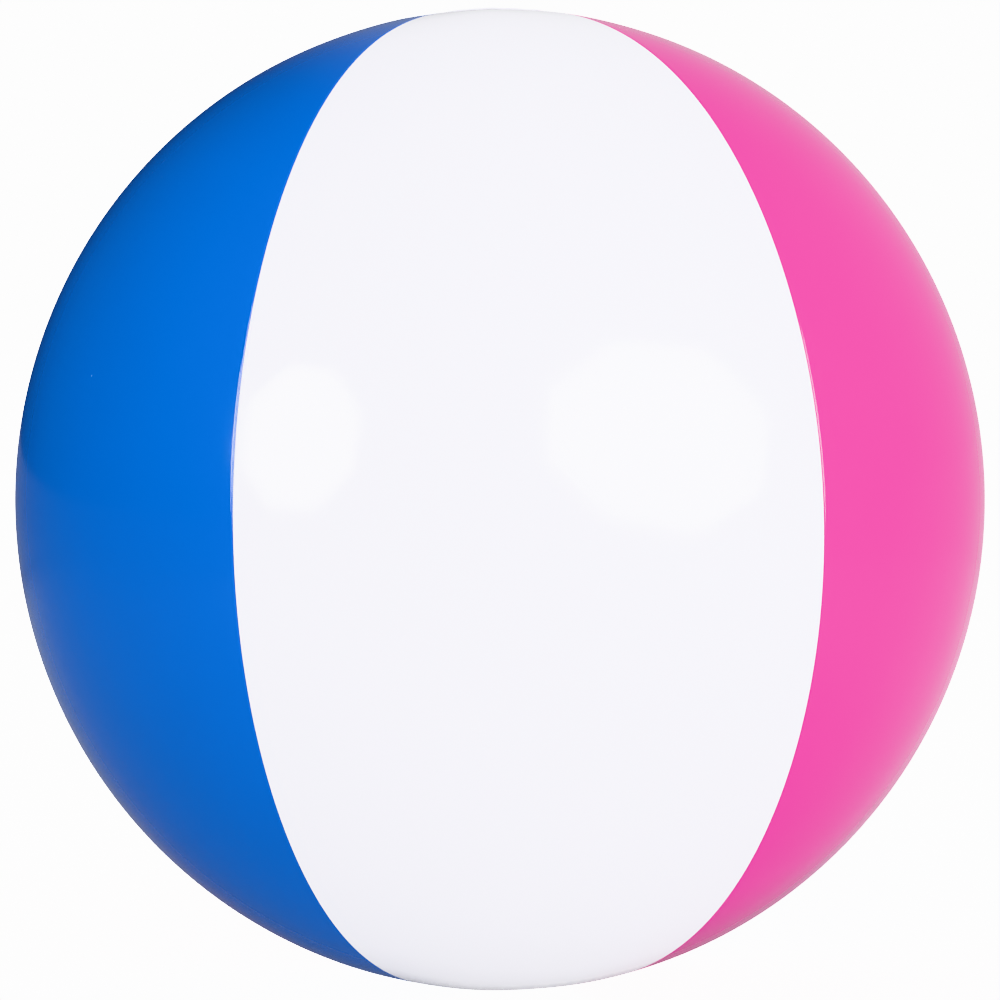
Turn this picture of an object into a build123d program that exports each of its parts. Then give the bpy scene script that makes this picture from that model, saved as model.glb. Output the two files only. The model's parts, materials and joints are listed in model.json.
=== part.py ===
from build123d import *
import os
from math import acos, cos, degrees, radians, sin, sqrt

# Inflatable beach ball: six welded film gores, two end caps, and an oral valve in the top cap.
# Millimetres. The origin is the ball's centre, +Z is the polar axis towards the valve, and the
# front white gore faces -Y. The valve is modelled pushed in and plugged, as the ball is played with.

# ---- Ball: a slightly tall spheroid, 610 mm from pole to pole along the flat film ----
EQUATOR_RADIUS = 193.0
POLE_RADIUS = 195.3
GORE_COUNT = 6
GORE_ANGLE = 360.0 / GORE_COUNT
FILM = 0.25
POLE_HOLE_RADIUS = 26.0      # the gores stop here, under the end caps
FIN_DEPTH = 3.0              # welded seam allowance that stands inside the ball
FRONT_AZIMUTH = -90.0        # middle of the front gore, seen from -Y

# Gores in order, anticlockwise from above, starting with the front one.
GORE_NAMES = (
    "gore_white_front",
    "gore_pink_front_right",
    "gore_blue_back_right",
    "gore_white_back",
    "gore_pink_back_left",
    "gore_blue_front_left",
)

# ---- End caps: film discs lapped over the ends of the gores ----
CAP_RADIUS = 32.0
CAP_FLAT_RADIUS = 20.0       # flat middle: the resting patch below, the valve's seat above
CAP_FILM = 0.30
LAP_GAP = 0.03               # weld thickness between a cap and the gores under it

# ---- Valve flange, welded under the top cap, its lip flush with the cap's outer face ----
FLANGE_RADIUS = 18.5
CRATER_RADIUS = 12.5         # inside of the flange, the mouth of the recess round the stem
FLANGE_LIP = 0.9
FLANGE_THICKNESS = 1.0
LIP_GAP = 0.05

# ---- Valve stem ----
BORE_RADIUS = 4.0
TUBE_RADIUS = 5.6
COLLAR_RADIUS = 6.6
COLLAR_HEIGHT = 1.48
STEM_RISE = 0.28             # top of the stem above the cap's outer face
STEM_LENGTH = 10.88
BASE_RING_RADIUS = 7.6
BASE_RING_THICKNESS = 1.0

# ---- Valve web: a thin cone from the flange down to the stem's base ring ----
WEB_THICKNESS = 0.6
WEB_DEPTH = 7.0              # the stem comes out by twice this, as the cone turns inside out
WEB_FOOT_RADIUS = 7.0        # the cone ends here in a flat foot on the base ring
WEB_ROOT_GAP = 0.02

# ---- Plug and tether ----
HEAD_THICKNESS = 1.2
SEAT_GAP = 0.02              # between the stem's top and the plug's head
STOPPER_LENGTH = 5.0
STOPPER_RADIUS = 3.9
STOPPER_TIP_RADIUS = 2.7     # tapered, so that it swings out of the bore
CORE_RADIUS = 1.5            # the stopper is hollow from below
CORE_DEPTH = 3.4
TAB_REACH = 10.6             # end of the pull tab, from the valve's axis
TAB_WIDTH = 5.0
TAB_THICKNESS = 0.9
FLIP_AXIS_X = -8.2           # fold line of the tether
FLIP_AXIS_RISE = 0.4         # above the cap's outer face
TETHER_WIDTH = 4.0
TETHER_THICKNESS = 0.7
TETHER_BEND_RADIUS = 0.15    # inside of the fold
TETHER_END_GAP = 0.02

# ---- Check flap under the stem ----
FLAP_RADIUS = 5.3
FLAP_THICKNESS = 0.6
FLAP_GAP = 0.05
FLAP_AXIS_X = -5.95
FLAP_HINGE_WIDTH = 4.0
LUG_INNER_X = -6.3           # the stem's hinge lug lies between these
LUG_OUTER_X = -7.3


def parameter_at(radius, semi_axis):
    """Ellipse parameter, in degrees, where the section is this far from the polar axis."""
    return degrees(acos(radius / semi_axis))


def height_at(radius, offset):
    """Height above the centre of the spheroid that stands this far off the ball's surface."""
    a, c = EQUATOR_RADIUS + offset, POLE_RADIUS + offset
    return c * sqrt(1 - (radius / a) ** 2)


def meridian(offset, from_radius, to_radius, lower_end=False):
    """Arc of the section of the spheroid that stands this far off the ball's surface.

    It runs from one distance off the axis, above the equator, to the other; lower_end puts
    its first end below the equator.
    """
    a, c = EQUATOR_RADIUS + offset, POLE_RADIUS + offset
    start, end = parameter_at(from_radius, a), parameter_at(to_radius, a)
    if lower_end:
        start = -start
    return EllipticalCenterArc((0, 0), a, c, start, arc_size=end - start)


def closed_section(outer_arc, inner_arc):
    """Face in the XZ plane between two arcs that run the same way."""
    ends = [Line(outer_arc @ 0, inner_arc @ 0), Line(outer_arc @ 1, inner_arc @ 1)]
    return Plane.XZ * make_face([outer_arc, inner_arc, *ends])


def turned(outline):
    """Full turn about the polar axis of an outline given as (radius, height) pairs."""
    return revolve(Plane.XZ * make_face(Polyline(outline, close=True)), Axis.Z)


def film_band(outer_offset, inner_offset):
    """Section of the gore film or of a seam fin, from the lower pole hole to the upper one."""
    arcs = [
        meridian(offset, POLE_HOLE_RADIUS, POLE_HOLE_RADIUS, lower_end=True)
        for offset in (outer_offset, inner_offset)
    ]
    return closed_section(*arcs)


def gore(middle_azimuth):
    """One curved panel with its two seam fins, which meet the neighbours' fins face to face."""
    half = radians(GORE_ANGLE / 2)
    film = revolve(film_band(0, -FILM), Axis.Z, GORE_ANGLE)
    fin = extrude(film_band(-FILM / 2, -FILM - FIN_DEPTH), amount=-FILM)
    middle_plane = Plane(origin=(0, 0, 0), z_dir=(-sin(half), cos(half), 0))
    panel = film + fin + mirror(fin, about=middle_plane)
    return Rot(0, 0, middle_azimuth - GORE_ANGLE / 2) * panel


def end_cap(hole_radius):
    """Film disc over the upper ends of the gores: a curved rim round a flat middle."""
    outer, inner = [
        meridian(offset, CAP_RADIUS, CAP_FLAT_RADIUS) for offset in (LAP_GAP + CAP_FILM, LAP_GAP)
    ]
    face, under = (outer @ 1).Y, (inner @ 1).Y
    flat = Polyline(outer @ 1, (hole_radius, face), (hole_radius, under), inner @ 1)
    return revolve(Plane.XZ * make_face([outer, flat, inner, Line(inner @ 0, outer @ 0)]), Axis.Z)


def valve_flange(face, under):
    """Ring under the cap, with a lip that lines the cap's hole."""
    return turned([
        (CRATER_RADIUS, under - FLANGE_THICKNESS),
        (FLANGE_RADIUS, under - FLANGE_THICKNESS),
        (FLANGE_RADIUS, under),
        (CRATER_RADIUS + FLANGE_LIP, under),
        (CRATER_RADIUS + FLANGE_LIP, face),
        (CRATER_RADIUS, face),
    ])


def valve_web(root):
    """Cone from the flange's inner wall to a flat foot on the stem's base ring."""
    half = WEB_THICKNESS / 2
    root_radius = CRATER_RADIUS - WEB_ROOT_GAP
    foot = root - WEB_DEPTH
    foot_inner_radius = TUBE_RADIUS + LIP_GAP
    return turned([
        (root_radius, root + half),
        (WEB_FOOT_RADIUS, foot + half),
        (foot_inner_radius, foot + half),
        (foot_inner_radius, foot - half),
        (WEB_FOOT_RADIUS + half, foot - half),
        (root_radius, root - half),
    ])


def valve_stem(top, web_foot_under):
    """Blowing tube with a collar at its mouth, a ring that carries the web, and the flap's lug."""
    end = top - STEM_LENGTH
    collar_under = top - COLLAR_HEIGHT
    ring_under = web_foot_under - BASE_RING_THICKNESS
    tube = turned([
        (BORE_RADIUS, top),
        (COLLAR_RADIUS, top),
        (COLLAR_RADIUS, collar_under),
        (TUBE_RADIUS, collar_under),
        (TUBE_RADIUS, web_foot_under),
        (BASE_RING_RADIUS, web_foot_under),
        (BASE_RING_RADIUS, ring_under),
        (TUBE_RADIUS, ring_under),
        (TUBE_RADIUS, end),
        (BORE_RADIUS, end),
    ])
    lug_foot = end - FLAP_GAP - FLAP_THICKNESS
    lug = Pos((LUG_INNER_X + LUG_OUTER_X) / 2, 0, (ring_under + lug_foot) / 2) * Box(
        LUG_INNER_X - LUG_OUTER_X, FLAP_HINGE_WIDTH, ring_under - lug_foot
    )
    return tube + lug


def plug(seat):
    """Flat head with a pull tab, over a tapered hollow stopper."""
    stopper_end = seat - STOPPER_LENGTH
    body = turned([
        (0, seat + HEAD_THICKNESS),
        (COLLAR_RADIUS, seat + HEAD_THICKNESS),
        (COLLAR_RADIUS, seat),
        (STOPPER_RADIUS, seat),
        (STOPPER_TIP_RADIUS, stopper_end),
        (CORE_RADIUS, stopper_end),
        (CORE_RADIUS, stopper_end + CORE_DEPTH),
        (0, stopper_end + CORE_DEPTH),
    ])
    tab = Pos(TAB_REACH / 2, 0, seat) * extrude(SlotOverall(TAB_REACH, TAB_WIDTH), TAB_THICKNESS)
    tab -= Pos(0, 0, seat) * Cylinder(STOPPER_RADIUS, HEAD_THICKNESS * 2)
    return body + tab


def tether_strap(face):
    """Strap folded through a half turn, from the stem's collar up to the plug's head."""
    axis_height = face + FLIP_AXIS_RISE
    inner, outer = TETHER_BEND_RADIUS, TETHER_BEND_RADIUS + TETHER_THICKNESS
    fold = Cylinder(outer, TETHER_WIDTH, rotation=(90, 0, 0))
    fold -= Cylinder(inner, TETHER_WIDTH, rotation=(90, 0, 0))
    fold -= Pos(outer, 0, 0) * Box(2 * outer, TETHER_WIDTH, 2 * outer)
    strap = Pos(FLIP_AXIS_X, 0, axis_height) * fold
    leg_reach = -FLIP_AXIS_X
    for side in (-1, 1):
        height = axis_height + side * (inner + outer) / 2
        strap += Pos(FLIP_AXIS_X / 2, 0, height) * Box(leg_reach, TETHER_WIDTH, TETHER_THICKNESS)
    end_cut = Cylinder(COLLAR_RADIUS + TETHER_END_GAP, 4 * outer)
    return strap - Pos(0, 0, axis_height) * end_cut


def check_flap(stem_end):
    """Disc that closes the stem's lower end, with a rounded edge on its hinge line."""
    middle = stem_end - FLAP_GAP - FLAP_THICKNESS / 2
    disc = Pos(0, 0, middle) * Cylinder(FLAP_RADIUS, FLAP_THICKNESS)
    tongue = Pos(FLAP_AXIS_X / 2, 0, middle) * Box(-FLAP_AXIS_X, FLAP_HINGE_WIDTH, FLAP_THICKNESS)
    edge = Pos(FLAP_AXIS_X, 0, middle) * Cylinder(
        FLAP_THICKNESS / 2, FLAP_HINGE_WIDTH, rotation=(90, 0, 0)
    )
    return disc + tongue + edge


def main():
    os.makedirs("parts", exist_ok=True)
    face = height_at(CAP_FLAT_RADIUS, LAP_GAP + CAP_FILM)
    under = height_at(CAP_FLAT_RADIUS, LAP_GAP)
    stem_top = face + STEM_RISE
    web_root = under - FLANGE_THICKNESS / 2
    web_foot_under = web_root - WEB_DEPTH - WEB_THICKNESS / 2

    parts = {
        name: gore(FRONT_AZIMUTH + GORE_ANGLE * index) for index, name in enumerate(GORE_NAMES)
    }
    parts["end_cap_bottom"] = Rot(180, 0, 0) * end_cap(0)
    parts["end_cap_top"] = end_cap(CRATER_RADIUS + FLANGE_LIP + LIP_GAP)
    parts["valve_flange"] = valve_flange(face, under)
    parts["valve_web"] = valve_web(web_root)
    parts["valve_stem"] = valve_stem(stem_top, web_foot_under)
    parts["check_flap"] = check_flap(stem_top - STEM_LENGTH)
    parts["plug"] = plug(stem_top + SEAT_GAP)
    parts["tether_strap"] = tether_strap(face)
    for name, shape in parts.items():
        export_step(shape, f"parts/{name}.step")
    print(f"cap face z {face:.4f}, cap underside z {under:.4f}, web root z {web_root:.4f}")


main()
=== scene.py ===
import json
from math import acos, cos, pi, radians, sin, sqrt, tan

import bmesh
import bpy
import numpy as np
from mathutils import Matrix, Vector


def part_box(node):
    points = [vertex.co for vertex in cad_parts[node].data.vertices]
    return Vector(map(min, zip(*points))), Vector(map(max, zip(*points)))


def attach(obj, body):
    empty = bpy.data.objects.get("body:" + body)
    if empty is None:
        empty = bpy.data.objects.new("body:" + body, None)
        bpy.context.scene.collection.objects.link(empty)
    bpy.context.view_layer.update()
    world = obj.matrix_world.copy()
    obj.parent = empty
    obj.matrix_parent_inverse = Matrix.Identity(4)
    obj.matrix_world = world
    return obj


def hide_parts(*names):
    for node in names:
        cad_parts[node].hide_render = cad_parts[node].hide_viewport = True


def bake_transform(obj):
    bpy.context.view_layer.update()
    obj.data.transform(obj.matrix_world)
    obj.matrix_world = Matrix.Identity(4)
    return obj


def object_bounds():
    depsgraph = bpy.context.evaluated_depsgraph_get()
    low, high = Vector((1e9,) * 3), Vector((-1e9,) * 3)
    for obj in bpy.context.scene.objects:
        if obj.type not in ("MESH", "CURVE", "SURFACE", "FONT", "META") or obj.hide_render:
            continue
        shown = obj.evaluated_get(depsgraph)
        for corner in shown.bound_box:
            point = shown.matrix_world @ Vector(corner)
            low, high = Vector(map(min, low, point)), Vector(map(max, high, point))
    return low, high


# Inflatable beach ball: the looks. Metres, +Z is the polar axis, and the front white gore faces -Y.
# The film panels are thin closed shells with welded seam fins; the valve is turned, soft and milky.

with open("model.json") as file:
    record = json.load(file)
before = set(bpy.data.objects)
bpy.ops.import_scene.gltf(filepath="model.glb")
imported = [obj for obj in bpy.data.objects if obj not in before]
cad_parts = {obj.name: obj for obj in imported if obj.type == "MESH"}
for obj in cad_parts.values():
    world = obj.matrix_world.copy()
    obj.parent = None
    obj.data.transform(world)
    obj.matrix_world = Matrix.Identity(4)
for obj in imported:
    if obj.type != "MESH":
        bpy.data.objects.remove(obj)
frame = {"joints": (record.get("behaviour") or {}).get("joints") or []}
cad_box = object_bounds()

MM = 0.001

# ---- Sizes that the frame gives ----
EQUATOR_RADIUS = -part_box("gore_white_front")[0][1]
CAP_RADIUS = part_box("end_cap_top")[1][0]
FACE_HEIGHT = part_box("valve_flange")[1][2]          # flat outer face of the end caps
FLANGE_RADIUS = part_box("valve_flange")[1][0]
FLANGE_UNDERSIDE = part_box("valve_flange")[0][2]
STEM_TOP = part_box("valve_stem")[1][2]
STEM_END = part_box("check_flap")[1][2]
FLAP_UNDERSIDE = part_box("check_flap")[0][2]
PLUG_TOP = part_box("plug")[1][2]
TAB_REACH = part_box("plug")[1][0]
WEB_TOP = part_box("valve_web")[1][2]
WEB_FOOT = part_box("valve_web")[0][2]
FLIP_AXIS = next(j for j in frame["joints"] if j["name"] == "plug_flip")["pos_m"]
FLAP_AXIS = next(j for j in frame["joints"] if j["name"] == "flap_swing")["pos_m"]

# ---- Gores ----
GORES = {                         # azimuth of each gore's middle, in degrees from +X
    "gore_white_front": -90,
    "gore_pink_front_right": -30,
    "gore_blue_back_right": 30,
    "gore_white_back": 90,
    "gore_pink_back_left": 150,
    "gore_blue_front_left": 210,
}
POLE_RADIUS = 195.3 * MM
FILM = 0.25 * MM
FIN_DEPTH = 3.0 * MM
FIN_MIDDLE = 0.6                  # where the fin has a row of points, as a share of its depth
POLE_HOLE_RADIUS = 26 * MM
GORE_ANGLE = pi / 3
WHITE_NARROWING = radians(0.6)    # the white gores' half width is less than 30 degrees at the equator
WHITE_FLARE = radians(3.17)       # and more towards the poles, as the inflated film pulls the seams
GORE_ROWS = 200
GORE_COLUMNS = 26
SHOULDER = 0.6 * MM               # rounding of the film where it turns in to the seam
FIN_START = 1.05 * SHOULDER       # the straight fin starts at least this deep
NEAR_SEAM = 5 * MM                # columns are close together inside this distance
SEAM_STEPS = [3.6, 2.4, 1.5, 0.9, 0.6, 0.47, 0.34, 0.23, 0.13, 0.06, 0.018, 0.0]     # millimetres

# Which seams of a gore follow the white gores' flare: 1 its own, -1 a neighbour's.
WHITE_ON_HIGH_SIDE = {"film_white": 1, "film_blue": -1, "film_pink": 0}
WHITE_ON_LOW_SIDE = {"film_white": 1, "film_blue": 0, "film_pink": -1}

# ---- Relief of the inflated film: pleats beside the end caps, and a slow swell further out ----
PLEAT_WAVES = [(11, 0.9), (17, 1.0), (23, 0.8), (31, 0.45)]     # waves round the ball, strength
PLEAT_HEIGHT = 0.16 * MM
PLEAT_FADE = 11 * MM
PLEAT_PHASES = np.random.default_rng(24).uniform(0, 2 * pi, (2, len(PLEAT_WAVES)))
SWELL_HEIGHT = 0.12 * MM
SWELL_START, SWELL_RISE = radians(52), radians(25)
SWELL_WAVES, SWELL_TWIST = 9, 2.0
RELIEF_START = 23 * MM            # radii about the polar axis between which the relief comes up
RELIEF_FULL = CAP_RADIUS + 2 * MM

# ---- End caps ----
CAP_FLAT_RADIUS = 20 * MM
CAP_FILM = 0.30 * MM
CAP_RIM = 0.15 * MM
CAP_HOLE_RADIUS = 13.45 * MM
CAP_ROWS_CURVED, CAP_ROWS_FLAT = 60, 40
CAP_TURNS = 450
LAP_GAP = 0.03 * MM
# Raised beads: radius, half width and height.
WELD_BEADS = [(30.0 * MM, 0.8 * MM, 0.24 * MM), (24.4 * MM, 0.7 * MM, 0.18 * MM)]
FLANGE_BEAD = (16.8 * MM, 0.8 * MM, 0.20 * MM)
KNURLS, KNURL_HEIGHT = 90, 0.13 * MM
KNURL_BAND = (25.4 * MM, 29.0 * MM)
KNURL_EDGE = 0.8 * MM

# ---- Valve: radii of turned pieces in millimetres, everything else in metres ----
BORE, TUBE, COLLAR, CRATER = 4.0, 5.6, 6.6, 12.5
FLANGE_WALL = 0.9
STEM_RING = 7.6
HEAD_DISH, HEAD_RIM = 4.4, 5.0
SHANK, SHANK_WAIST, SHANK_TIP, CORE = 3.9, 3.75, 2.7, 1.5
VALVE_TURNS = 144
FLANGE_THICKNESS = 1.0 * MM
COLLAR_THICKNESS = 1.48 * MM
STEM_RING_THICKNESS = 1.0 * MM
WEB_HALF = 0.3 * MM
WEB_ROWS = 40
WEB_ROOT_RADIUS = 12.40 * MM
WEB_FOOT_RADIUS = 7.0 * MM
WEB_INNER_RADIUS = 5.7 * MM
FLAP_GAP = 0.05 * MM
FLAP_RADIUS = 5.3 * MM
FLAP_LUG_HALF_WIDTH = 2.0 * MM
LUG = [(-7.3, -2), (-6.3, -2), (-6.3, 2), (-7.3, 2)]            # millimetres
HEAD_THICKNESS = 1.2 * MM
HEAD_DISH_DEPTH = 0.25 * MM
SHANK_LEAD, SHANK_LENGTH, CORE_ROOF = 1.2 * MM, 5.0 * MM, 1.6 * MM
TAB_START, TAB_HALF_WIDTH = 5.7 * MM, 2.5 * MM
TAB_LOW, TAB_HIGH = 0.06 * MM, 0.9 * MM
RIB_START, RIB_STEP = 7.5 * MM, 0.95 * MM
RIB_WIDTH, RIB_HALF_LENGTH = 0.4 * MM, 1.6 * MM
RIB_LOW, RIB_HIGH = 0.7 * MM, 1.12 * MM
STRAP_FOLD_RADIUS, STRAP_REACH = 0.5 * MM, -6.45 * MM
STRAP_HALF_WIDTH, STRAP_HALF_THICKNESS = 2.0 * MM, 0.35 * MM
STRAP_ROUNDNESS = 0.35            # 1 is an ellipse, 0 a sharp rectangle
# Rounding of the upper and lower edges of flat pieces.
LUG_EDGE, FLAP_EDGE, TAB_EDGE, RIB_EDGE = 0.12 * MM, 0.22 * MM, 0.30 * MM, 0.14 * MM

# ---- Mesh detail ----
SHARP_ANGLE = radians(35)
CORNER_STEPS = 5
EDGE_RINGS = 5
TONGUE_STEPS = 24
FLAP_STEPS = 60
STRAP_STEPS = 25

# ---- Materials ----
VINYL_IOR = 1.5
FILM_LOOKS = {                    # colour, colour of the dust, share of specks, least roughness
    "film_white": ((0.925, 0.918, 0.975), (0.35, 0.30, 0.30), 0.10, 0.10),
    "film_blue": ((0.0002, 0.089, 0.400), (0.30, 0.55, 0.80), 0.30, 0.10),
    "film_pink": ((0.55, 0.034, 0.250), (0.50, 0.10, 0.25), 0.10, 0.11),
}
MOTTLE_SCALE, MOTTLE_SHADE, MOTTLE_EDGES = 14.0, 0.965, (0.30, 0.70)
SPECK_CELLS, SPECK_SIZE = 62.0, 0.036
SMEAR_SCALE, SMEAR_EDGES, SMEAR_ROUGHNESS = 22.0, (0.35, 0.75), 0.07
# Bumps: noise scale, noise detail, height and strength.
FILM_WAVES = (26.0, 2.0, 0.25 * MM, 0.25)
FILM_GRAIN = (900.0, 3.0, 0.02 * MM, 0.12)
MOULD_GRAIN = (2600.0, 3.0, 0.03 * MM, 0.35)
CLOUD_SCALE, CLOUD_SHADE, CLOUD_EDGES = 260.0, 0.90, (0.30, 0.72)
SCATTER_DEPTH = 1.2 * MM

# ---- Camera, as the photograph's: slightly above and to the left of the front ----
CAMERA_DISTANCE = 0.7414
CAMERA_AZIMUTH = -3.36
CAMERA_ELEVATION = 4.30
CAMERA_ROLL = -0.98
CAMERA_LENS = 64.78
CAMERA_SENSOR = 36
CAMERA_NEAR = 0.01

# ---- Light ----
BACKDROP = 4.0                    # level of floor and backdrop as the camera sees them
STAGE_ROUGHNESS = 0.9
FLOOR_HALF = 30.0
FLOOR_WHITE = 0.14
FLOOR_FILL = (0.95, 1.25)         # levels left and right, of the light that falls on the ball
FLOOR_GLOSS = (0.03, 0.45)        # the same in its reflections
FLOOR_EDGE = (-0.25, 0.45)        # X between which they change
WORLD_GLOSS = (0.04, 0.60)
WORLD_EDGE = (-0.10, 0.35)
WORLD_SLANT = (1, 0, 0.4)
WORLD_FILL = 0.26
FILL_FROM = (0.30, 0, 1.30)       # how much more comes from the right and from above
SOFTBOX_DISTANCE = 1.15
SOFTBOX_SIDES = 8
# Azimuth, elevation, width, height, level of the light that falls, level in reflections, turn.
SOFTBOXES = {
    "softbox_left": (-44.8, 15, 0.49, 0.52, 9.6, 34.5, 0),
    "softbox_right": (30, 15, 0.95, 0.70, 8.6, 34.5, 12),
    "softbox_back_left": (-142, 25, 0.9, 0.7, 5.0, 0.0, 0),
    "softbox_back_right": (142, 25, 0.9, 0.7, 5.0, 0.0, 0),
}

# ---------------------------------------------------------------- materials


def new_material(name):
    material = bpy.data.materials.new(name)
    material.use_nodes = True
    nodes = material.node_tree.nodes
    return material, nodes, material.node_tree.links, nodes["Principled BSDF"]


def noise(nodes, links, coordinates, scale, detail, roughness=0.5):
    node = nodes.new("ShaderNodeTexNoise")
    node.inputs["Scale"].default_value = scale
    node.inputs["Detail"].default_value = detail
    node.inputs["Roughness"].default_value = roughness
    links.new(coordinates, node.inputs["Vector"])
    return node.outputs["Fac"]


def ramp(nodes, links, factor, stops):
    """Colour ramp from (position, colour) stops."""
    node = nodes.new("ShaderNodeValToRGB")
    for element, (position, colour) in zip(node.color_ramp.elements, stops):
        element.position = position
        element.color = (*colour, 1)
    links.new(factor, node.inputs["Fac"])
    return node.outputs["Color"]


def map_range(nodes, links, value, start, end, low, high, curve="LINEAR"):
    """Rise from low to high, as a value goes from start to end."""
    node = nodes.new("ShaderNodeMapRange")
    node.interpolation_type = curve
    for name, number in zip(("From Min", "From Max", "To Min", "To Max"), (start, end, low, high)):
        node.inputs[name].default_value = number
    links.new(value, node.inputs["Value"])
    return node.outputs["Result"]


def mix_colour(nodes, links, factor, first, second, mode="MIX"):
    """Mix of two colours; each is a colour or a socket."""
    node = nodes.new("ShaderNodeMix")
    node.data_type = "RGBA"
    node.blend_type = mode
    for socket, value in zip((node.inputs[0], node.inputs[6], node.inputs[7]), (factor, first, second)):
        if isinstance(value, bpy.types.NodeSocket):
            links.new(value, socket)
        else:
            socket.default_value = value if isinstance(value, float) else (*value, 1)
    return node.outputs[2]


def bump(nodes, links, coordinates, look, under=None):
    """Normal socket of a noise bump, on top of another one if that is given."""
    scale, detail, height, strength = look
    node = nodes.new("ShaderNodeBump")
    node.inputs["Strength"].default_value = strength
    node.inputs["Distance"].default_value = height
    links.new(noise(nodes, links, coordinates, scale, detail), node.inputs["Height"])
    if under:
        links.new(under, node.inputs["Normal"])
    return node.outputs["Normal"]


def shade(colour, factor):
    return tuple(channel * factor for channel in colour)


def film_material(name, colour, dust, dust_share, roughness):
    """Glossy calendered vinyl: faint gauge mottling, fine handling marks and a few specks of dust."""
    material, nodes, links, shader = new_material(name)
    place = nodes.new("ShaderNodeTexCoord").outputs["Object"]

    mottle = noise(nodes, links, place, MOTTLE_SCALE, detail=2.0)
    tone = ramp(nodes, links, mottle, zip(MOTTLE_EDGES, (shade(colour, MOTTLE_SHADE), colour)))

    cells = nodes.new("ShaderNodeTexVoronoi")
    cells.inputs["Scale"].default_value = SPECK_CELLS
    links.new(place, cells.inputs["Vector"])
    black, white = (0, 0, 0), (1, 1, 1)
    specks = ramp(nodes, links, cells.outputs["Distance"], [(0.0, white), (SPECK_SIZE, black)])
    chosen = ramp(nodes, links, cells.outputs["Color"], [(1 - dust_share, black), (1.0, white)])
    mask = mix_colour(nodes, links, 1.0, specks, chosen, "MULTIPLY")
    links.new(mix_colour(nodes, links, mask, tone, dust), shader.inputs["Base Color"])

    smears = noise(nodes, links, place, SMEAR_SCALE, detail=5.0, roughness=0.6)
    rough = map_range(nodes, links, smears, *SMEAR_EDGES, roughness, roughness + SMEAR_ROUGHNESS)
    links.new(rough, shader.inputs["Roughness"])

    waves = bump(nodes, links, place, FILM_WAVES)
    links.new(bump(nodes, links, place, FILM_GRAIN, waves), shader.inputs["Normal"])
    shader.inputs["IOR"].default_value = VINYL_IOR
    shader.inputs["Specular IOR Level"].default_value = 0.5
    return material


def moulded_material(name, colour, roughness, subsurface):
    """Soft milky vinyl as the valve is moulded in: cloudy, satin, with a fine moulded grain."""
    material, nodes, links, shader = new_material(name)
    place = nodes.new("ShaderNodeTexCoord").outputs["Object"]
    cloud = noise(nodes, links, place, CLOUD_SCALE, detail=4.0)
    tone = ramp(nodes, links, cloud, zip(CLOUD_EDGES, (shade(colour, CLOUD_SHADE), colour)))
    links.new(tone, shader.inputs["Base Color"])
    links.new(bump(nodes, links, place, MOULD_GRAIN), shader.inputs["Normal"])
    shader.inputs["Roughness"].default_value = roughness
    shader.inputs["Subsurface Weight"].default_value = subsurface
    shader.inputs["Subsurface Radius"].default_value = (1.0, 1.0, 1.0)
    shader.inputs["Subsurface Scale"].default_value = SCATTER_DEPTH
    shader.inputs["IOR"].default_value = VINYL_IOR
    return material


FILMS = {name: film_material(name, *look) for name, look in FILM_LOOKS.items()}
VALVE = moulded_material("valve_vinyl", (0.52, 0.58, 0.62), roughness=0.28, subsurface=0.35)
PLUG = moulded_material("valve_plug", (0.60, 0.66, 0.70), roughness=0.24, subsurface=0.30)

# ---------------------------------------------------------------- meshes


def add_piece(name, points, faces, material):
    """New mesh object from points and faces, smooth but for its sharp edges."""
    mesh = bpy.data.meshes.new(name)
    mesh.from_pydata([tuple(p) for p in points], [], [tuple(f) for f in faces])
    mesh.validate()
    sides = bmesh.new()
    sides.from_mesh(mesh)
    bmesh.ops.recalc_face_normals(sides, faces=sides.faces)
    sides.to_mesh(mesh)
    sides.free()
    mesh.shade_smooth()
    mesh.set_sharp_from_angle(angle=SHARP_ANGLE)
    mesh.materials.append(material)
    piece = bpy.data.objects.new(name, mesh)
    bpy.context.scene.collection.objects.link(piece)
    return piece


def tube_faces(rows, size):
    """Faces between rows of points, where each row is a closed ring of this size."""
    return [
        (row * size + k, row * size + (k + 1) % size,
         (row + 1) * size + (k + 1) % size, (row + 1) * size + k)
        for row in range(rows - 1)
        for k in range(size)
    ]


def smooth_step(value):
    t = np.clip(value, 0, 1)
    return t * t * (3 - 2 * t)


def relief(u, azimuth):
    """Soft waves of the film above the plain spheroid: pleats that fan out from the end caps."""
    polar = EQUATOR_RADIUS * np.cos(u)
    end = (u > 0).astype(int)
    pleats = sum(
        strength * np.cos(count * azimuth + PLEAT_PHASES[end, index])
        for index, (count, strength) in enumerate(PLEAT_WAVES)
    )
    fade = np.exp(-np.clip(polar - CAP_RADIUS, 0, None) / PLEAT_FADE)
    under_cap = smooth_step((polar - RELIEF_START) / (RELIEF_FULL - RELIEF_START))
    swell = smooth_step((np.abs(u) - SWELL_START) / SWELL_RISE)
    swell = swell * np.cos(SWELL_WAVES * azimuth + SWELL_TWIST * u)
    return PLEAT_HEIGHT * pleats / 2 * fade * under_cap + SWELL_HEIGHT * swell * under_cap


def film_point(u, azimuth, depth):
    """Point this deep under the ball's surface, along its normal, at an ellipse parameter u."""
    across, up = np.cos(u) / EQUATOR_RADIUS, np.sin(u) / POLE_RADIUS
    length = np.hypot(across, up)
    inward = depth - relief(u, azimuth)
    radius = EQUATOR_RADIUS * np.cos(u) - inward * across / length
    height = POLE_RADIUS * np.sin(u) - inward * up / length
    return np.stack([radius * np.cos(azimuth), radius * np.sin(azimuth), height], axis=-1)


def shoulder_depth(distance):
    """How far the film has turned in, this far from the seam."""
    inside = np.clip(SHOULDER - distance, 0, None)
    return SHOULDER - np.sqrt(SHOULDER**2 - inside**2)


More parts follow.
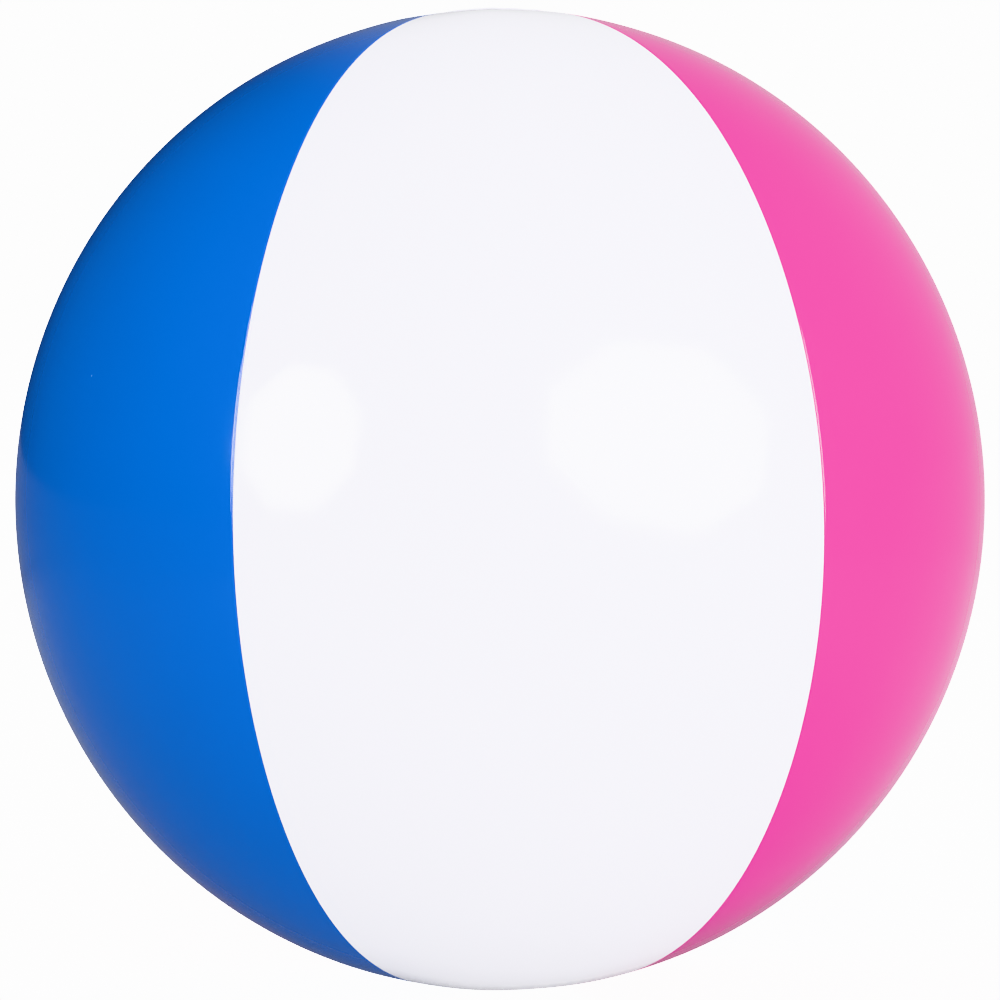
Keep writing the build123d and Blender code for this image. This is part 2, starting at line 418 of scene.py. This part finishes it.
def half_section():
    """Half of a gore's closed section: rows of (distance from the seam, share of the way to the
    middle, depth), from the middle outside, down the fin, and back to the middle inside."""
    outside, inside = [], []
    for column in range(GORE_COLUMNS):
        share = 1 - column / GORE_COLUMNS
        outside.append((NEAR_SEAM, share, 0.0))
        inside.append((NEAR_SEAM, share, FILM))
    for step in [NEAR_SEAM / MM, *SEAM_STEPS]:
        distance = step * MM
        turn = shoulder_depth(distance)
        outside.append((distance, 0.0, turn))
        inside.append((distance + FILM, 0.0, turn + FILM))
    for depth in (FIN_MIDDLE * FIN_DEPTH, FIN_DEPTH + FILM):
        outside.append((0.0, 0.0, max(depth, FIN_START)))
        inside.append((FILM, 0.0, max(depth, FIN_START + FILM)))
    return np.array(outside + inside[::-1])


def seam_shift(u):
    """How far a white gore's seams stand outside their mean meridians."""
    return WHITE_FLARE * np.sin(u) ** 4 - WHITE_NARROWING


def add_gore(node, middle_azimuth, material, slot):
    """One panel: a closed film shell whose two edges turn in and run down as welded fins."""
    half = half_section()
    reach = acos(POLE_HOLE_RADIUS / EQUATOR_RADIUS)
    u = np.linspace(-reach, reach, GORE_ROWS)[:, None]
    ring_radius = EQUATOR_RADIUS * np.cos(u)
    shift = seam_shift(u)
    high_edge = GORE_ANGLE / 2 + WHITE_ON_HIGH_SIDE[slot] * shift
    low_edge = GORE_ANGLE / 2 + WHITE_ON_LOW_SIDE[slot] * shift
    centre = middle_azimuth + (high_edge - low_edge) / 2
    half_angle = (high_edge + low_edge) / 2
    half_width = half_angle * ring_radius
    distance, share, depth = half[:, 0], half[:, 1], half[:, 2]
    from_seam = (distance + share * (half_width - NEAR_SEAM)) / ring_radius
    depth = np.broadcast_to(depth, from_seam.shape)
    right = film_point(u, centre + half_angle - from_seam, depth)
    left = film_point(u, centre - half_angle + from_seam, depth)
    loop = np.concatenate([right, left[:, -2:0:-1]], axis=1)

    count, size = loop.shape[:2]
    faces = tube_faces(count, size)
    pairs = len(half)
    for row, end in ((0, -1), (count - 1, 1)):
        for side in (1, -1):
            for k in range(pairs // 2 - 1):
                ring = (k, k + 1, pairs - 2 - k, pairs - 1 - k)
                faces.append([row * size + side * i % size for i in ring][::end * side])
    piece = add_piece(f"panel_{node[5:]}", loop.reshape(-1, 3), faces, material)
    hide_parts(node)
    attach(piece, "ball")


def lathe(outline, turns, lift=None):
    """Points and faces of an outline of (radius, height) turned about the polar axis.

    The outline is closed, unless it starts and ends on the axis. lift(radius, azimuth) raises it.
    """
    outline = np.array(outline)
    on_axis = outline[0, 0] < 1e-9 and outline[-1, 0] < 1e-9
    ring = outline[1:-1] if on_axis else outline
    azimuth = np.arange(turns) * 2 * pi / turns
    radius, height = ring[:, 0][:, None], ring[:, 1][:, None]
    rise = lift(radius, azimuth) if lift else 0.0
    points = np.stack([
        radius * np.cos(azimuth), radius * np.sin(azimuth), height + rise + 0 * azimuth
    ], axis=-1).reshape(-1, 3)
    rows = len(ring)
    faces = []
    for row in range(rows - 1 if on_axis else rows):
        near, far = row * turns, (row + 1) % rows * turns
        for k in range(turns):
            faces.append((near + k, near + (k + 1) % turns, far + (k + 1) % turns, far + k))
    if on_axis:
        first, last = len(points), len(points) + 1
        points = np.vstack([points, [0, 0, outline[0, 1]], [0, 0, outline[-1, 1]]])
        final = (rows - 1) * turns
        for k in range(turns):
            faces.append((first, (k + 1) % turns, k))
            faces.append((last, final + k, final + (k + 1) % turns))
    return points, faces


def rounded(corners, closed):
    """Outline with its corners rounded; each corner is (radius, height, rounding)."""
    outline = []
    count = len(corners)
    for index, (x, y, rounding) in enumerate(corners):
        if rounding == 0 or (not closed and index in (0, count - 1)):
            outline.append((x, y))
            continue
        here = Vector((x, y))
        back = Vector(corners[index - 1][:2]) - here
        ahead = Vector(corners[(index + 1) % count][:2]) - here
        half_turn = back.angle(ahead) / 2
        cut = min(rounding / tan(half_turn), 0.49 * back.length, 0.49 * ahead.length)
        start, end = here + back.normalized() * cut, here + ahead.normalized() * cut
        for step in range(CORNER_STEPS + 1):
            t = step / CORNER_STEPS
            point = start * (1 - t) ** 2 + here * 2 * t * (1 - t) + end * t**2
            outline.append((point.x, point.y))
    return outline


# ---------------------------------------------------------------- end caps


def bead_height(radius, beads):
    return sum(
        height * smooth_step(1 - abs(radius - middle) / width) for middle, width, height in beads
    )


def cap_outline(hole_radius):
    """Closed outline of a cap: curved rim over the gores, flat middle, embossed weld beads."""
    beads = WELD_BEADS + ([FLANGE_BEAD] if hole_radius > 0 else [])
    radii = np.concatenate([
        np.linspace(CAP_RADIUS - CAP_RIM, CAP_FLAT_RADIUS, CAP_ROWS_CURVED),
        np.linspace(CAP_FLAT_RADIUS, hole_radius, CAP_ROWS_FLAT)[1:],
    ])

    def height(radius, offset):
        a, c = EQUATOR_RADIUS + offset, POLE_RADIUS + offset
        return c * sqrt(1 - (max(radius, CAP_FLAT_RADIUS) / a) ** 2)

    outer = [(r, height(r, LAP_GAP + CAP_FILM) + bead_height(r, beads)) for r in radii]
    inner = [(r, height(r, LAP_GAP)) for r in radii]
    edge = [(CAP_RADIUS, height(CAP_RADIUS, LAP_GAP + CAP_FILM / 2))]
    return edge + outer + inner[::-1]


def cap_lift(sign):
    """Rise of the top (1) or bottom (-1) cap: the film's relief, and a knurled welding band."""
    def lift(radius, azimuth):
        u = sign * np.arccos(np.clip(radius / EQUATOR_RADIUS, 0, 1))
        band = smooth_step((radius - KNURL_BAND[0]) / KNURL_EDGE)
        band = band * smooth_step((KNURL_BAND[1] - radius) / KNURL_EDGE)
        knurls = KNURL_HEIGHT * band * np.clip(np.cos(KNURLS * azimuth), 0, None)
        return relief(u + 0 * azimuth, azimuth) + knurls
    return lift


def add_cap(name, node, hole_radius, sign):
    outline = cap_outline(hole_radius)
    if hole_radius == 0:
        ring = len(outline) // 2
        outline = outline[1:ring + 1][::-1] + outline[:1] + outline[ring + 1:][::-1]
    points, faces = lathe(outline, CAP_TURNS, cap_lift(sign))
    points[:, 2] *= sign
    if sign < 0:
        faces = [face[::-1] for face in faces]
    piece = add_piece(name, points, faces, FILMS["film_white"])
    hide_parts(node)
    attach(piece, "ball")


# ---------------------------------------------------------------- valve


def add_turned(name, corners, node, body, material=VALVE, closed=True):
    """Turned piece; each corner is its radius in mm, its height in m and its rounding in mm."""
    outline = [(radius * MM, height, rounding * MM) for radius, height, rounding in corners]
    points, faces = lathe(rounded(outline, closed), VALVE_TURNS)
    piece = add_piece(name, points, faces, material)
    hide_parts(node)
    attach(piece, body)


def tongue_outline(reach, half_width, start):
    """Outline in XY of a tongue from x = start to a round end at x = reach."""
    turn = np.linspace(-pi / 2, pi / 2, TONGUE_STEPS)
    end = np.stack([reach - half_width + half_width * np.cos(turn), half_width * np.sin(turn)], axis=1)
    return np.vstack([[start, -half_width], end, [start, half_width]])


def add_slab(name, outline, low, high, edge, node, body, material=VALVE):
    """Flat soft piece on an outline in XY, with its upper and lower edges rounded over."""
    outline = np.asarray(outline, dtype=float)
    ahead, back = np.roll(outline, -1, axis=0), np.roll(outline, 1, axis=0)
    tangent = ahead - back
    tangent /= np.linalg.norm(tangent, axis=1)[:, None]
    inward = np.stack([-tangent[:, 1], tangent[:, 0]], axis=1)
    rings = []
    for turn in np.linspace(0, pi / 2, EDGE_RINGS):
        rings.append((edge * (1 - sin(turn)), low + edge * (1 - cos(turn))))
    rings += [(inset, high - (height - low)) for inset, height in rings[::-1]]
    points = np.vstack([
        np.column_stack([outline + inward * inset, np.full(len(outline), height)])
        for inset, height in rings
    ])
    size = len(outline)
    faces = tube_faces(len(rings), size)
    faces.append(list(range(size))[::-1])
    faces.append([(len(rings) - 1) * size + k for k in range(size)])
    piece = add_piece(name, points, faces, material)
    if node:
        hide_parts(node)
    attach(piece, body)


def add_flange():
    top, under, foot = FACE_HEIGHT, FLANGE_UNDERSIDE + FLANGE_THICKNESS, FLANGE_UNDERSIDE
    add_turned("valve_seat_ring", [
        (CRATER, foot, 0.25), (FLANGE_RADIUS / MM, foot, 0.30), (FLANGE_RADIUS / MM, under, 0.08),
        (CRATER + FLANGE_WALL, under, 0.05), (CRATER + FLANGE_WALL, top, 0.10), (CRATER, top, 0.35),
    ], "valve_flange", "ball")


def add_web():
    """Skirt in an S curve from the flange's inner wall to its foot on the stem's base ring."""
    root, foot = WEB_TOP - WEB_HALF, WEB_FOOT + WEB_HALF
    share = np.linspace(0, 1, WEB_ROWS)
    radius = WEB_ROOT_RADIUS + (WEB_FOOT_RADIUS - WEB_ROOT_RADIUS) * share
    height = root + (foot - root) * (1 - np.cos(pi * share)) / 2
    flat = np.linspace(WEB_FOOT_RADIUS, WEB_INNER_RADIUS, 4)[1:]
    middle = np.vstack([np.stack([radius, height], axis=1), [(r, foot) for r in flat]])
    tangent = np.gradient(middle, axis=0)
    tangent /= np.linalg.norm(tangent, axis=1)[:, None]
    normal = np.stack([-tangent[:, 1], tangent[:, 0]], axis=1) * WEB_HALF
    outline = np.vstack([middle + normal, (middle - normal)[::-1]])
    points, faces = lathe(outline, VALVE_TURNS)
    skirt = add_piece("valve_skirt", points, faces, VALVE)
    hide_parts("valve_web")
    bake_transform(skirt)


def add_stem():
    """Tube with a collar at its mouth, a ring at its base, and a lug that holds the flap."""
    collar, ring = STEM_TOP - COLLAR_THICKNESS, WEB_FOOT - STEM_RING_THICKNESS
    mouth = STEM_END + FLAP_GAP
    add_turned("blow_tube", [
        (BORE, STEM_TOP, 0.40), (COLLAR, STEM_TOP, 0.45), (COLLAR, collar, 0.30),
        (TUBE, collar, 0.20), (TUBE, WEB_FOOT, 0.10), (STEM_RING, WEB_FOOT, 0.25),
        (STEM_RING, ring, 0.25), (TUBE, ring, 0.25), (TUBE, mouth, 0.25), (BORE, mouth, 0.20),
    ], "valve_stem", "stem")
    add_slab("flap_lug", np.array(LUG) * MM, FLAP_UNDERSIDE, ring, LUG_EDGE, None, "stem")


def add_flap():
    hinge_x, half_width = FLAP_AXIS[0], FLAP_LUG_HALF_WIDTH
    meet = acos(half_width / FLAP_RADIUS) + pi / 2
    turn = np.linspace(-meet, meet, FLAP_STEPS)
    disc = np.stack([FLAP_RADIUS * np.cos(turn), FLAP_RADIUS * np.sin(turn)], axis=1)
    outline = np.vstack([disc, [(hinge_x, half_width), (hinge_x, -half_width)]])
    add_slab("check_disc", outline, FLAP_UNDERSIDE, STEM_END, FLAP_EDGE, "check_flap", "flap")


def add_plug():
    """Hollow stopper with a dished head, and its pull tab with three ribs."""
    seat, dish = PLUG_TOP - HEAD_THICKNESS, PLUG_TOP - HEAD_DISH_DEPTH
    lead, tip, roof = seat - SHANK_LEAD, seat - SHANK_LENGTH, seat - CORE_ROOF
    add_turned("stopper", [
        (0, dish, 0), (HEAD_DISH, dish, 0.5), (HEAD_RIM, PLUG_TOP, 0.4),
        (COLLAR, PLUG_TOP, 0.5), (COLLAR, seat, 0.25), (SHANK, seat, 0.12), (SHANK_WAIST, lead, 0.3),
        (SHANK_TIP, tip, 0.4), (CORE, tip, 0.25), (CORE, roof, 0.4), (0, roof, 0),
    ], "plug", "plug", PLUG, closed=False)
    tab = tongue_outline(TAB_REACH, TAB_HALF_WIDTH, TAB_START)
    add_slab("plug_tab", tab, seat + TAB_LOW, seat + TAB_HIGH, TAB_EDGE, None, "plug", PLUG)
    for index in range(3):
        near = RIB_START + RIB_STEP * index
        far, side = near + RIB_WIDTH, RIB_HALF_LENGTH
        rib = [(near, -side), (far, -side), (far, side), (near, side)]
        add_slab(f"tab_rib_{index + 1}", rib, seat + RIB_LOW, seat + RIB_HIGH, RIB_EDGE,
                 None, "plug", PLUG)


def squircle(half_size, wave):
    """One coordinate of a rounded rectangle, from the cosine or sine of its corner angles."""
    return np.sign(wave) * np.abs(wave) ** STRAP_ROUNDNESS * half_size


def add_strap():
    """Strap from the collar out to its fold line and back to the plug's head."""
    x, axis = FLIP_AXIS[0], FLIP_AXIS[2]
    radius = STRAP_FOLD_RADIUS
    legs = np.linspace(STRAP_REACH, x, 6)[:-1]
    turn = np.linspace(-pi / 2, -3 * pi / 2, STRAP_STEPS)
    path = [(leg, axis - radius, 0, -1) for leg in legs]
    path += [(x + radius * cos(a), axis + radius * sin(a), cos(a), sin(a)) for a in turn]
    path += [(leg, axis + radius, 0, 1) for leg in legs[::-1]]
    corners = np.linspace(0, 2 * pi, STRAP_STEPS)[:-1]
    across = squircle(STRAP_HALF_WIDTH, np.cos(corners))
    deep = squircle(STRAP_HALF_THICKNESS, np.sin(corners))
    points, size = [], len(corners)
    for px, pz, nx, nz in path:
        points += [(px + nx * d, c, pz + nz * d) for c, d in zip(across, deep)]
    faces = tube_faces(len(path), size)
    faces += [list(range(size)), [(len(path) - 1) * size + k for k in range(size)]]
    strap = add_piece("tether", points, faces, PLUG)
    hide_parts("tether_strap")
    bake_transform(strap)


# ---------------------------------------------------------------- stage, lights, camera


def direction(azimuth, elevation):
    """Unit vector, azimuth in degrees from -Y towards +X."""
    az, el = radians(azimuth), radians(elevation)
    return Vector((sin(az) * cos(el), -cos(az) * cos(el), sin(el)))


def by_ray(nodes, links, camera, falling, glossy):
    """Level that differs between what the camera sees, the light that falls and the reflections."""
    path = nodes.new("ShaderNodeLightPath")
    level = falling
    for ray, value in (("Is Glossy Ray", glossy), ("Is Camera Ray", camera)):
        mix = nodes.new("ShaderNodeMix")
        links.new(path.outputs[ray], mix.inputs["Factor"])
        for socket, source in ((mix.inputs["A"], level), (mix.inputs["B"], value)):
            if isinstance(source, float):
                socket.default_value = source
            else:
                links.new(source, socket)
        level = mix.outputs["Result"]
    return level


def slope(nodes, links, value, edges, levels):
    """Smooth change between two levels."""
    return map_range(nodes, links, value, *edges, *levels, "SMOOTHSTEP")


def stage_mesh(name, points, white):
    """One face that glows, with the sockets that its glow needs."""
    material, nodes, links, shader = new_material(name)
    shader.inputs["Base Color"].default_value = (white, white, white, 1)
    shader.inputs["Roughness"].default_value = STAGE_ROUGHNESS
    shader.inputs["Emission Color"].default_value = (1, 1, 1, 1)
    mesh = bpy.data.meshes.new(name)
    mesh.from_pydata(points, [], [tuple(range(len(points)))])
    mesh.materials.append(material)
    thing = bpy.data.objects.new(name, mesh)
    bpy.context.scene.collection.objects.link(thing)
    return thing, nodes, links, shader.inputs["Emission Strength"]


def add_softbox(name, azimuth, elevation, width, height, falling, glossy, turn):
    """Softbox that faces the ball and that the camera doesn't see."""
    half = pi / SOFTBOX_SIDES
    corners = [
        (width / 2 * cos(a) / cos(half), height / 2 * sin(a) / cos(half), 0)
        for a in (half + k * 2 * half for k in range(SOFTBOX_SIDES))
    ]
    box, nodes, links, glow = stage_mesh(name, corners, 0.0)
    links.new(by_ray(nodes, links, 0.0, falling, glossy), glow)
    towards = direction(azimuth, elevation)
    box.location = towards * SOFTBOX_DISTANCE
    box.rotation_euler = (-towards).to_track_quat("Z", "Y").to_euler()
    box.rotation_euler.rotate_axis("Z", radians(turn))
    box.visible_camera = False
    box.visible_glossy = glossy > 0


def add_floor():
    size, z = FLOOR_HALF, cad_box[0][2]
    corners = [(-size, -size, z), (size, -size, z), (size, size, z), (-size, size, z)]
    floor, nodes, links, glow = stage_mesh("floor", corners, FLOOR_WHITE)
    sides = nodes.new("ShaderNodeSeparateXYZ")
    links.new(nodes.new("ShaderNodeTexCoord").outputs["Object"], sides.inputs["Vector"])
    falling = slope(nodes, links, sides.outputs["X"], FLOOR_EDGE, FLOOR_FILL)
    glossy = slope(nodes, links, sides.outputs["X"], FLOOR_EDGE, FLOOR_GLOSS)
    links.new(by_ray(nodes, links, BACKDROP, falling, glossy), glow)


def along(nodes, links, place, vector):
    """Dot product of a place and a vector."""
    node = nodes.new("ShaderNodeVectorMath")
    node.operation = "DOT_PRODUCT"
    node.inputs[1].default_value = vector
    links.new(place, node.inputs[0])
    return node.outputs["Value"]


def arithmetic(nodes, links, operation, value, number):
    node = nodes.new("ShaderNodeMath")
    node.operation = operation
    node.inputs[1].default_value = number
    links.new(value, node.inputs[0])
    return node.outputs[0]


def add_world():
    """White to the camera, as the studio's backdrop is, and dim in the ball's reflections."""
    world = bpy.data.worlds.new("studio")
    bpy.context.scene.world = world
    world.use_nodes = True
    nodes, links = world.node_tree.nodes, world.node_tree.links
    background = nodes["Background"]
    place = nodes.new("ShaderNodeTexCoord").outputs["Generated"]
    pattern = slope(nodes, links, along(nodes, links, place, WORLD_SLANT), WORLD_EDGE, WORLD_GLOSS)
    fill = arithmetic(nodes, links, "ADD", along(nodes, links, place, FILL_FROM), WORLD_FILL)
    lit = arithmetic(nodes, links, "MAXIMUM", fill, 0.0)
    links.new(by_ray(nodes, links, BACKDROP, lit, pattern), background.inputs["Strength"])
    background.inputs["Color"].default_value = (1, 1, 1, 1)


def add_camera():
    camera = bpy.data.objects.new("camera", bpy.data.cameras.new("camera"))
    bpy.context.scene.collection.objects.link(camera)
    towards = direction(CAMERA_AZIMUTH, CAMERA_ELEVATION)
    camera.location = towards * CAMERA_DISTANCE
    camera.rotation_euler = towards.to_track_quat("Z", "Y").to_euler()
    camera.rotation_euler.rotate_axis("Z", radians(CAMERA_ROLL))
    camera.data.lens = CAMERA_LENS
    camera.data.sensor_width = CAMERA_SENSOR
    camera.data.clip_start = CAMERA_NEAR
    bpy.context.scene.camera = camera


# ---------------------------------------------------------------- build

for gore_node, gore_azimuth in GORES.items():
    gore_slot = "film_" + gore_node.split("_")[1]
    add_gore(gore_node, radians(gore_azimuth), FILMS[gore_slot], gore_slot)
add_cap("cap_top", "end_cap_top", CAP_HOLE_RADIUS, 1)
add_cap("cap_bottom", "end_cap_bottom", 0.0, -1)
add_flange()
add_web()
add_stem()
add_flap()
add_plug()
add_strap()

add_camera()
add_world()
add_floor()
for softbox_name, softbox in SOFTBOXES.items():
    add_softbox(softbox_name, *softbox)
bpy.context.scene.view_settings.view_transform = "Khronos PBR Neutral"
